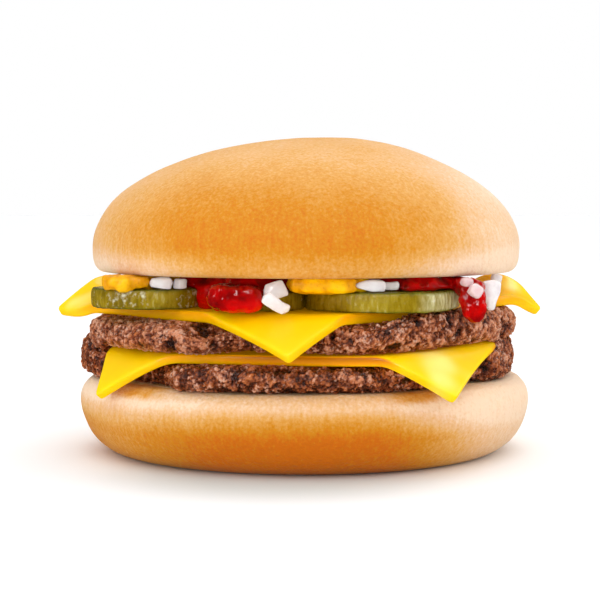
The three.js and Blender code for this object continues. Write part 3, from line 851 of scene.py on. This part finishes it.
def slice_mesh(node, cheese, rest):
    """A slice with its edges and corners slightly rounded."""
    half = cheese["side"] / 2
    u, v, level = slice_grid(half)
    farthest = np.maximum(np.abs(u), np.abs(v))
    u, v = pulled_out(cheese, u, v)
    under = draped(cheese, u, v, rest)
    step = 0.05
    along_u = draped(cheese, u + step, v, rest) - under
    along_v = draped(cheese, u, v + step, rest) - under
    normal = np.cross(along_u, along_v)
    normal /= np.linalg.norm(normal, axis=-1, keepdims=True)
    half_thick = cheese["thickness"] / 2
    lift = half_thick - SLICE_EDGE + SLICE_EDGE * level
    sway = 0.18 * lumps(under.reshape(-1, 3), 13, 3).reshape(u.shape)
    low = under + normal * (half_thick - lift + sway)[..., None]
    high = under + normal * (half_thick + lift + sway)[..., None]
    index = np.arange(u.size).reshape(u.shape)
    quads = np.stack([index[:-1, :-1], index[:-1, 1:], index[1:, 1:], index[1:, :-1]], -1).reshape(-1, 4)
    ring = np.concatenate([index[0, :-1], index[:-1, -1], index[-1, :0:-1], index[:0:-1, 0]])
    beside = np.roll(ring, -1)
    above = u.size
    walls = np.stack([ring, beside, beside + above, ring + above], -1)
    points = np.vstack([low.reshape(-1, 3), high.reshape(-1, 3)])
    mesh = mesh_of(node, points, [*quads[:, ::-1], *(quads + above), *walls])
    # Painted shade along the edges where the slice lies flat, from orange towards brown, and almost none
    # where it hangs.
    near_edge = np.tile(smooth(half - 0.5, half - 0.1, farthest).ravel(), 2)
    hanging = smooth(-0.8, 2, rest(points[:, 0], points[:, 1]) + half_thick - points[:, 2])
    left, right = cheese["edge_shade_tone"]
    tone = left + (right - left) * smooth(*CUT_TONE_CHANGE, points[:, 0])
    paint(mesh, "cut", near_edge * (tone * (1 - hanging) + 0.08 * hanging))
    # Painted highlights: paler patches round the given spots.
    from_patch = np.min([np.linalg.norm(points - centre, axis=1) for centre in cheese["highlight_at"]], axis=0)
    paint(mesh, "pale", 1 - smooth(2, 8, from_patch + 2.5 * lumps(points, 4, 2)))
    return mesh


# --------------------------------------------------------------------------------------------------------
# Toppings
# --------------------------------------------------------------------------------------------------------


PICKLE_THICKNESS = {"pickle_1": 3.8, "pickle_2": 3.6, "pickle_3": 3.7, "pickle_4": 2.9, "pickle_5": 3.5}
PICKLE_SINK = 0.35  # how far a chip presses into the cheese under it
# the chips with more pale specks, painted as glints
SPECKED = ("pickle_1", "pickle_4")
PALE_SKIN = {"pickle_3": (23, 27)}  # the X values between which the skin grows pale


def pickle_mesh(node):
    """A chip that follows the slice under it, with a ridged skin round it and seeds in its cut faces."""
    low, high = node_box(node)
    centre = (low + high) / 2
    radius = (high - low)[0] / 2 - 0.1
    height = PICKLE_THICKNESS[node] + PICKLE_SINK + 0.1
    edge = 0.55
    turn = np.radians(np.linspace(0, 90, 5))
    corner = np.stack([radius - edge + edge * np.sin(turn), edge - edge * np.cos(turn)], 1)
    upper = np.stack([corner[::-1, 0], height - corner[::-1, 1]], 1)
    outside = np.vstack([[[0, 0]], corner, upper, [[0, height]]])
    profile = evenly_spaced(outside, step=0.32)

    def place(reach, rise, angle):
        bulge = 0.25 * (1 - (2 * rise / height - 1) ** 2) * smooth(0.5, 1, reach / radius)
        wave = 0.018 * np.sin(3 * angle + centre[0]) + 0.01 * np.sin(7 * angle + centre[1])
        wavy = (reach + bulge) * (1 + wave)
        x, y = centre[0] + wavy * np.cos(angle), centre[1] + wavy * np.sin(angle)
        floor = upper_patty_top(x, y) + CHEESE_UPPER["thickness"] + 2 * LAYER_GAP
        return np.stack([x, y, floor - PICKLE_SINK + rise], -1)

    mesh = turned_mesh(node, profile, int(FULL_TURN * radius / 0.3), place)
    points, normals = points_of(mesh), normals_of(mesh)
    side = 1 - smooth(0.45, 0.8, np.abs(normals[:, 2]))
    offset = points - centre
    angle = np.arctan2(offset[:, 1], offset[:, 0])
    reach = np.hypot(offset[:, 0], offset[:, 1]) / radius
    upright = np.stack([radius * angle, 0.4 * points[:, 2], 0 * angle], 1)
    streaks = lumps(upright, 2.4, radius) + 0.5 * lumps(upright, 0.9, radius + 3)
    inside, number = crumbs(points, 2.6, 3)
    seeds = smooth(0.25, 0.6, inside) * (number > 0.6) * smooth(0.8, 0.6, reach) * (1 - side)
    relief = side * (0.18 * streaks + 0.05 * lumps(points, 0.8, 6))
    relief += (1 - side) * (0.12 * lumps(points, 1.6, 4) + 0.3 * seeds)
    rise = points[:, 2] - place(reach, 0, angle)[:, 2]
    from_edge = np.minimum(rise, height - rise)
    pushed(mesh, relief)
    paint(mesh, "skin", side)
    paint(mesh, "rind", np.where(side > 0.5, 1 - smooth(0.1, 0.8, from_edge), smooth(0.86, 0.97, reach)))
    paint(mesh, "pale", smooth(*PALE_SKIN[node], points[:, 0]) if node in PALE_SKIN else 0 * reach)
    # More painted glints on some chips.
    paint(mesh, "specked", smooth(0.1, 0.9, lumps(points, 7, radius) + (node in SPECKED) * 0.5))
    return mesh


STAINED_ONIONS = {8: 0.1, 9: 0.45, 10: 0.7}  # how red the ketchup has made them
ONION_TAPERS = {  # the axis along which a piece narrows, and by how much at its low and its high end
    1: (0, (0.3, 0)),
    3: (2, (0, 0.35)),
    4: (0, (0, 0.3)),
    5: (0, (0.7, 0)),
    7: (2, (0.55, 0)),
}
ONION_SHIFTS = {  # towards what carries the piece, so that none hangs in the air
    7: (-0.45, -0.55, 0.2),
    8: (0, 0, 0.55),
    11: (-0.55, -1.0, -0.4),
    13: (1.1, -0.2, 0.35),
    14: (0.4, -0.35, 0),
    15: (-1.1, 0, -0.1),
}


def onion_mesh(node, index):
    """A diced piece of onion. Some grow narrower towards one end."""
    mesh = even_copy(node, voxel=0.2, smoothing=9)
    points = points_of(mesh)
    low, high = node_box(node)
    if index in ONION_TAPERS:
        axis, narrow = ONION_TAPERS[index]
        along = (points[:, axis] - low[axis]) / (high - low)[axis]
        width = 1 - narrow[0] * smooth(0.7, 0, along) - narrow[1] * smooth(0.3, 1, along)
        middle = (low + high) / 2
        middle[axis] = 0
        keep = np.arange(3) == axis
        points = np.where(keep, points, middle + (points - middle) * width[:, None])
        set_points(mesh, points)
    pushed(mesh, 0.2 + 0.26 * lumps(points, 2.3, index))
    stain = STAINED_ONIONS.get(index, 0.0) * (0.7 + 0.5 * lumps(points, 1.3, index))
    paint(mesh, "stained", stain.clip(0, 1))
    set_points(mesh, points_of(mesh) + ONION_SHIFTS.get(index, (0, 0, 0)))
    return mesh


KETCHUP_BLOCK = {"x": -13.2, "half_width": 8, "front": (-37, -39.5), "level": 35.6, "height_share": 0.86}
KETCHUP_PULL = {"to": (40.4, -31.2, 38.5), "depth": 2.2, "reach": (3.5, 7)}  # onto the onion beside the drip
SAUCE_SWELL = 0.3
MUSTARD_BLOB = (14, 24)  # how far left of the middle the blob begins, and is at its full depth


def lumpy_sauce(mesh, size, seed, depth, level):
    """Swells sauce to touch what it lies against, with lumps of the given size and depth. level is how it is
    painted between its hollows and its crests, darker in the hollows as painted shade."""
    points = points_of(mesh)
    relief = lumps(points, size, seed) + 0.6 * lumps(points, size / 2, seed)
    relief += 0.3 - 0.6 * np.abs(lumps(points, size / 3, seed))
    pushed(mesh, SAUCE_SWELL + depth * relief)
    # Painted shade: darker in the hollows.
    paint(mesh, "depth", (level + 0.5 * relief).clip(0, 1))
    return mesh


def ketchup_mesh():
    """The block at the front is a little lower than its node."""
    mesh = even_copy("ketchup", voxel=0.36, smoothing=5)
    points = points_of(mesh)
    block, pull = KETCHUP_BLOCK, KETCHUP_PULL
    beside = np.abs(points[:, 0] - block["x"])
    in_block = smooth(*block["front"], points[:, 1]) * (beside < block["half_width"])
    lowered = block["level"] + (points[:, 2] - block["level"]) * block["height_share"]
    points[:, 2] += (lowered - points[:, 2]) * in_block
    towards = pull["to"] - points
    distance = np.linalg.norm(towards, axis=1)
    pulled = pull["depth"] * (1 - smooth(*pull["reach"], distance))
    set_points(mesh, points + towards * (pulled / distance)[:, None])
    return lumpy_sauce(mesh, size=3.4, seed=1, depth=0.42, level=0.5)


def mustard_mesh():
    """The blob at the left has deeper lumps, and is painted darker, as shade."""
    mesh = even_copy("mustard", voxel=0.33, smoothing=5)
    # The blob gets deeper lumps and is painted darker, as shade.
    depth = 0.16 + 0.26 * smooth(*MUSTARD_BLOB, -points_of(mesh)[:, 0])
    return lumpy_sauce(mesh, size=2.6, seed=7, depth=depth, level=0.66 - 1.2 * depth)


# --------------------------------------------------------------------------------------------------------
# The burger
# --------------------------------------------------------------------------------------------------------

crust = crust_finish()
beef = beef_finish()
cheese = cheese_finish()
pickle = pickle_finish()
onion = onion_finish()

add_piece("bun_bottom", bun_bottom_mesh(), crust)
add_piece("bun_top", bun_top_mesh(), crust)
add_piece("patty_lower", patty_mesh("patty_lower", seed=3, upper=False, browned=1), beef)
add_piece("patty_upper", patty_mesh("patty_upper", seed=11, upper=True, browned=0), beef)
add_piece("cheese_lower", slice_mesh("cheese_lower", CHEESE_LOWER, lower_slice_rest), cheese)
add_piece("cheese_upper", slice_mesh("cheese_upper", CHEESE_UPPER, upper_slice_rest), cheese)
add_piece("ketchup", ketchup_mesh(), ketchup_finish())
add_piece("mustard", mustard_mesh(), mustard_finish())
for node in sorted(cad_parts):
    if node.startswith("pickle_"):
        add_piece(node, pickle_mesh(node), pickle)
    if node.startswith("onion_"):
        add_piece(node, onion_mesh(node, int(node.split("_")[1])), onion)

# --------------------------------------------------------------------------------------------------------
# Floor, light and camera
# --------------------------------------------------------------------------------------------------------

CAMERA = {"distance": 0.370, "height": 0.0545, "pitch": np.radians(3.256), "focal_pixels": 1617}
IMAGE_WIDTH = 600
SENSOR_WIDTH = 36
WALL_LIGHT = (0.42, 0.62)  # from the front, and from everywhere else
CEILING_LIGHT = 1.15
MIRRORED_LIGHT = 0.07
LAMPS_FACE = (0, 0, 0.03)
FLOOR_RADII = (*range(6, 60, 3), 200, 1000, 12000)
FLOOR_WHITE, FLOOR_SHADE = (0.92, 0.93, 0.94), (0.6, 0.65, 0.64)
SHADED_FLOOR = {"centre": (-4, -38), "radius": (16, 44)}


def add_floor():
    """A white table top, painted darker in front of the burger, where the photo has a soft shadow."""
    angle = np.radians(np.arange(0, 360, 5))
    points = np.array([(r * np.cos(a), r * np.sin(a), 0) for r in FLOOR_RADII for a in angle])
    from_centre = np.hypot(points[:, 0], points[:, 1])
    points[:, :2] += SHADED_FLOOR["centre"]
    rings = np.arange(len(points)).reshape(-1, len(angle))
    ahead = np.roll(rings, -1, axis=1)
    bands = np.stack([rings[:-1], rings[1:], ahead[1:], ahead[:-1]], -1).reshape(-1, 4)
    mesh = mesh_of("floor", points, [*bands, rings[0]])
    paint(mesh, "shade", 1 - smooth(*SHADED_FLOOR["radius"], from_centre))
    floor = bpy.data.objects.new("floor", mesh)
    bpy.context.scene.collection.objects.link(floor)
    finish = Finish("floor", Roughness=0.7)
    shade = finish.painted("shade")
    finish.set(Base_Color=finish.ramp(shade, (0.0, FLOOR_WHITE), (1.0, FLOOR_SHADE)))
    floor.data.materials.append(finish.material)
    floor.visible_glossy = False


def add_lamp(name, place, size, power, diffuse=True, glossy=True):
    """A light that faces the burger, with its place and size in metres and its power in watts. Without glossy
    it isn't mirrored in anything, and without diffuse it is only mirrored."""
    lamp = bpy.data.lights.new(name, "AREA")
    lamp.shape = "RECTANGLE"
    lamp.energy = power
    lamp.size, lamp.size_y = size
    holder = bpy.data.objects.new(name, lamp)
    holder.location = place
    holder.rotation_euler = (Vector(LAMPS_FACE) - Vector(place)).to_track_quat("-Z", "Y").to_euler()
    holder.visible_diffuse, holder.visible_glossy = diffuse, glossy
    bpy.context.scene.collection.objects.link(holder)


def add_camera():
    camera = bpy.data.cameras.new("camera")
    camera.sensor_width = SENSOR_WIDTH
    camera.lens = SENSOR_WIDTH * CAMERA["focal_pixels"] / IMAGE_WIDTH
    camera.clip_start, camera.clip_end = 0.01, 40
    holder = bpy.data.objects.new("camera", camera)
    holder.location = (0, -CAMERA["distance"], CAMERA["height"])
    holder.rotation_euler = (np.pi / 2 - CAMERA["pitch"], 0, 0)
    bpy.context.scene.collection.objects.link(holder)
    bpy.context.scene.camera = holder


def ranged(tree, value, value_range, strengths):
    """Turns a value that runs over value_range into a strength, by an S-curve."""
    node = tree.nodes.new("ShaderNodeMapRange")
    node.interpolation_type = "SMOOTHSTEP"
    numbers = (*value_range, *strengths)
    for name, number in zip(("From Min", "From Max", "To Min", "To Max"), numbers):
        node.inputs[name].default_value = number
    tree.links.new(value, node.inputs["Value"])
    return node.outputs["Result"]


def add_studio():
    """White all round. It gives less light from the front, and most from above, and what shines mirrors a dim
    room."""
    world = bpy.data.worlds.new("studio")
    world.use_nodes = True
    tree = world.node_tree
    split = tree.nodes.new("ShaderNodeSeparateXYZ")
    tree.links.new(tree.nodes.new("ShaderNodeTexCoord").outputs["Generated"], split.inputs[0])
    walls = ranged(tree, split.outputs["Y"], (-0.85, -0.1), WALL_LIGHT)
    ceiling = ranged(tree, split.outputs["Z"], (0.3, 0.95), (0, CEILING_LIGHT))
    total = tree.nodes.new("ShaderNodeMath")  # it adds
    tree.links.new(walls, total.inputs[0])
    tree.links.new(ceiling, total.inputs[1])
    ray = tree.nodes.new("ShaderNodeLightPath")
    shown = tree.nodes["Background"]
    tree.links.new(total.outputs[0], shown.inputs["Strength"])
    for kind, strength in (("Is Glossy Ray", MIRRORED_LIGHT), ("Is Camera Ray", 1.0)):
        other = tree.nodes.new("ShaderNodeBackground")
        other.inputs["Strength"].default_value = strength
        mix = tree.nodes.new("ShaderNodeMixShader")
        for socket, node_input in zip((ray.outputs[kind], shown.outputs[0], other.outputs[0]), mix.inputs):
            tree.links.new(socket, node_input)
        shown = mix
    for node in tree.nodes:
        if node.type == "BACKGROUND":
            node.inputs["Color"].default_value = (1, 1, 1, 1)
    tree.links.new(shown.outputs[0], tree.nodes["World Output"].inputs["Surface"])
    bpy.context.scene.world = world
    bpy.context.scene.view_settings.view_transform = "Standard"


add_floor()
add_studio()
add_lamp("front", (0.1, -1.15, 0.14), size=(0.9, 0.26), power=3.0, glossy=False)
add_lamp("front left", (-0.75, -0.8, 0.14), size=(0.5, 0.26), power=0.9, glossy=False)
add_lamp("back", (0.15, 0.75, 0.7), size=(1.0, 0.2), power=1.5)
add_lamp("right", (0.65, 0.1, 0.3), size=(0.4, 0.4), power=0.9)
add_lamp("left strip", (-0.62, -0.36, 0.12), size=(0.05, 0.4), power=0.6)
add_lamp("spark right", (0.15, -0.55, 0.55), size=(0.2, 0.2), power=2.4, diffuse=False)
add_lamp("spark left", (-0.42, -0.5, 0.3), size=(0.12, 0.2), power=1.4, diffuse=False)
add_camera()
